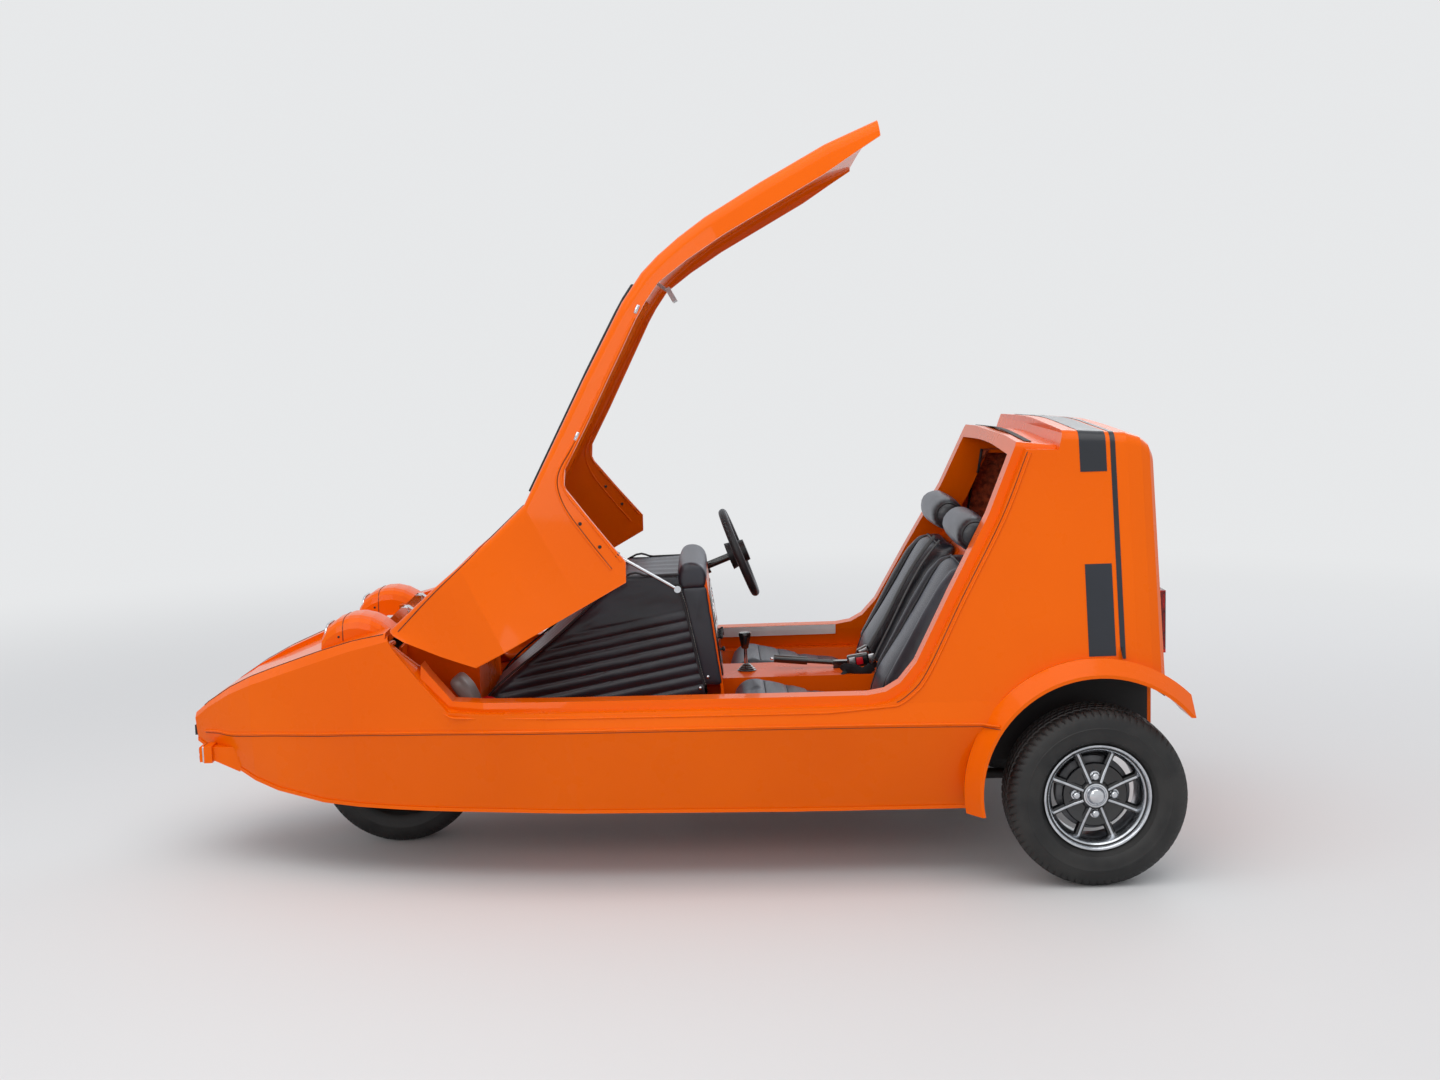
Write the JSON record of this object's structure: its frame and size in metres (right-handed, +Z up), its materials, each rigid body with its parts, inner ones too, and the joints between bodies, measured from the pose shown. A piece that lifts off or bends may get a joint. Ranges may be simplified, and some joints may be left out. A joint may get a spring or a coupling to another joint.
{
  "type": "three wheeled car",
  "caption": "Low wedge-shaped car with one wheel in front and two behind, a lift-up canopy with its windscreen, two seats side by side and a lid in the tail.",
  "frame": {"origin": "on the floor, at the middle of the car's length and width", "axes": "+X forward to the nose, +Y to the car's left, +Z up"},
  "size_m": [2.794, 1.397, 2.057],
  "materials": {
    "orange_shell": "gloss",
    "orange_inner": "gloss",
    "screen_glass": "clear",
    "black_vinyl": "grained",
    "black_pad": "matt",
    "carpet": "pile",
    "tyre_rubber": "matt",
    "wheel_metal": "polished",
    "frame_paint": "satin",
    "raw_cast": "cast",
    "bright_steel": "polished",
    "kick_aluminium": "brushed",
    "black_rubber": "matt",
    "lamp_glass": "clear",
    "tail_lens": "gloss",
    "black_gloss": "gloss",
    "pipe_steel": "dull"
  },
  "bodies": {
    "car_body": {"lower_hull": "orange_shell", "upper_body": "orange_shell", "nose_deck": "orange_shell", "floor_tub": "orange_inner", "engine_cover": "black_vinyl", "dash_panel": "black_pad", "luggage_floor": "carpet", "wheel_arch_liners": "black_pad", "seat_base_left": "black_vinyl", "seat_base_right": "black_vinyl", "seat_back_left": "black_vinyl", "seat_back_right": "black_vinyl", "headrest_left": "black_vinyl", "headrest_right": "black_vinyl", "headlamp_cowls": "orange_shell", "headlamps": "lamp_glass", "chassis_frame": "frame_paint", "rear_axle": "raw_cast", "trailing_arms": "frame_paint", "rear_springs": "frame_paint", "engine_block": "raw_cast", "propshaft": "frame_paint", "exhaust": "pipe_steel", "fuel_tank": "frame_paint", "radiator": "black_pad", "sill_plates": "kick_aluminium", "rear_lamps": "tail_lens", "front_lamps": "orange_shell", "nose_buffer": "black_rubber", "rear_window": "screen_glass", "boot_hinges": "bright_steel", "roof_seal": "black_rubber", "steering_column": "black_gloss", "gear_lever": "black_gloss", "handbrake": "black_gloss", "pedals": "black_gloss", "strut_stud": "bright_steel", "hinge_brackets": "bright_steel"},
    "canopy": {"canopy_shell": "orange_shell", "windscreen": "screen_glass", "strut_lug": "bright_steel", "mirror": "black_gloss", "roof_latch": "bright_steel", "canopy_hinges": "bright_steel"},
    "front_fork": {"steering_fork": "frame_paint"},
    "front_wheel": {"tyre_front": "tyre_rubber", "rim_front": "wheel_metal"},
    "rear_left_wheel": {"tyre_rear_left": "tyre_rubber", "rim_rear_left": "wheel_metal"},
    "rear_right_wheel": {"tyre_rear_right": "tyre_rubber", "rim_rear_right": "wheel_metal"},
    "hand_wheel": {"steering_wheel": "black_pad"},
    "tail_lid": {"boot_lid": "orange_shell"},
    "stay_cylinder": {"strut_cylinder": "black_gloss"},
    "stay_rod": {"strut_rod": "bright_steel"}
  },
  "joints": [
    {"name": "canopy_hinge", "type": "hinge", "parent": "car_body", "child": "canopy", "pos_m": [0.755, 0, 0.715], "axis": [0, -1, 0], "range_deg": [0, 29]},
    {"name": "steer", "type": "hinge", "parent": "car_body", "child": "front_fork", "pos_m": [0.808, 0, 0.5], "axis": [0, 0, 1], "range_deg": [-35, 35]},
    {"name": "front_wheel_spin", "type": "hinge", "parent": "front_fork", "child": "front_wheel", "pos_m": [0.808, 0, 0.241], "axis": [0, 1, 0], "continuous": true},
    {"name": "rear_left_wheel_spin", "type": "hinge", "parent": "car_body", "child": "rear_left_wheel", "pos_m": [-1.147, 0.608, 0.241], "axis": [0, 1, 0], "continuous": true},
    {"name": "rear_right_wheel_spin", "type": "hinge", "parent": "car_body", "child": "rear_right_wheel", "pos_m": [-1.147, -0.608, 0.241], "axis": [0, 1, 0], "continuous": true},
    {"name": "hand_wheel_turn", "type": "hinge", "parent": "car_body", "child": "hand_wheel", "pos_m": [-0.196, -0.33, 0.786], "axis": [-0.9336, 0, 0.3584], "range_deg": [-386, 386]},
    {"name": "tail_lid_hinge", "type": "hinge", "parent": "car_body", "child": "tail_lid", "pos_m": [-1.349, 0, 0.858], "axis": [0, 1, 0], "range_deg": [0, 80]},
    {"name": "stay_swing", "type": "hinge", "parent": "canopy", "child": "stay_cylinder", "pos_m": [0.33736, 0.246, 0.99909], "axis": [0, -1, 0], "range_deg": [-62.5, 0]},
    {"name": "stay_slide", "type": "slide", "parent": "stay_cylinder", "child": "stay_rod", "axis": [0.856, 0, 0.517], "range_m": [0, 0.15]}
  ],
  "couplings": [
    {"joint": "hand_wheel_turn", "follows": "steer", "ratio": 11},
    {"joint": "stay_swing", "follows": "canopy_hinge", "ratio": -2.134},
    {"joint": "stay_slide", "follows": "canopy_hinge", "m_per_rad": 0.2945}
  ]
}
